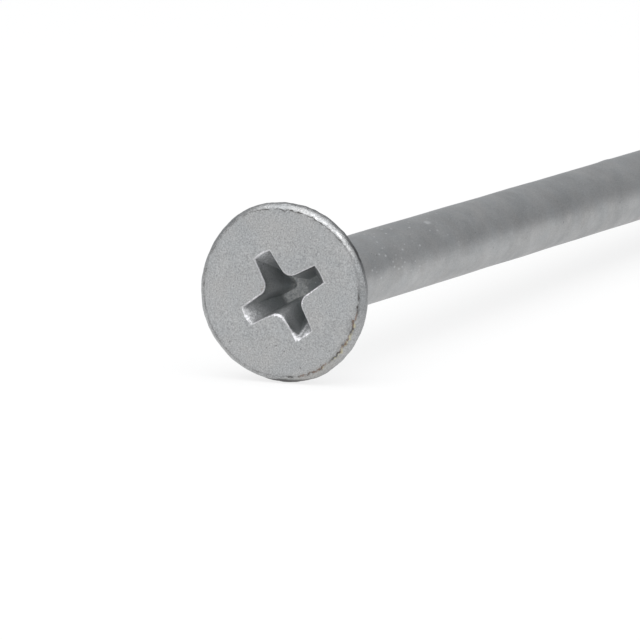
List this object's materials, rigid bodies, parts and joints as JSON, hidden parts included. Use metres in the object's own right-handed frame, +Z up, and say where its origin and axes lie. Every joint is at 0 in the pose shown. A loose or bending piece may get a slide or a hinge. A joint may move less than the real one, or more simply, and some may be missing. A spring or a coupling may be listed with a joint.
{
  "type": "countersunk wood screw",
  "caption": "Countersunk wood screw with a flat head, a cross recess, a long plain shank, a coarse wood thread and a gimlet point, in galvanised steel.",
  "frame": {"origin": "on the surface that the screw lies on, under the middle of its bounding box", "axes": "+Z up, +X towards the head along the screw, whose axis lies in the XZ plane and dips by 1.3 degrees towards the point"},
  "size_m": [0.12, 0.01, 0.01],
  "materials": {
    "galvanised_steel": "matt grey galvanised zinc coat with fine grain, a few rust flecks and burnished edges round the cross recess"
  },
  "bodies": {
    "root": {"wood_screw": "galvanised_steel"}
  },
  "joints": []
}
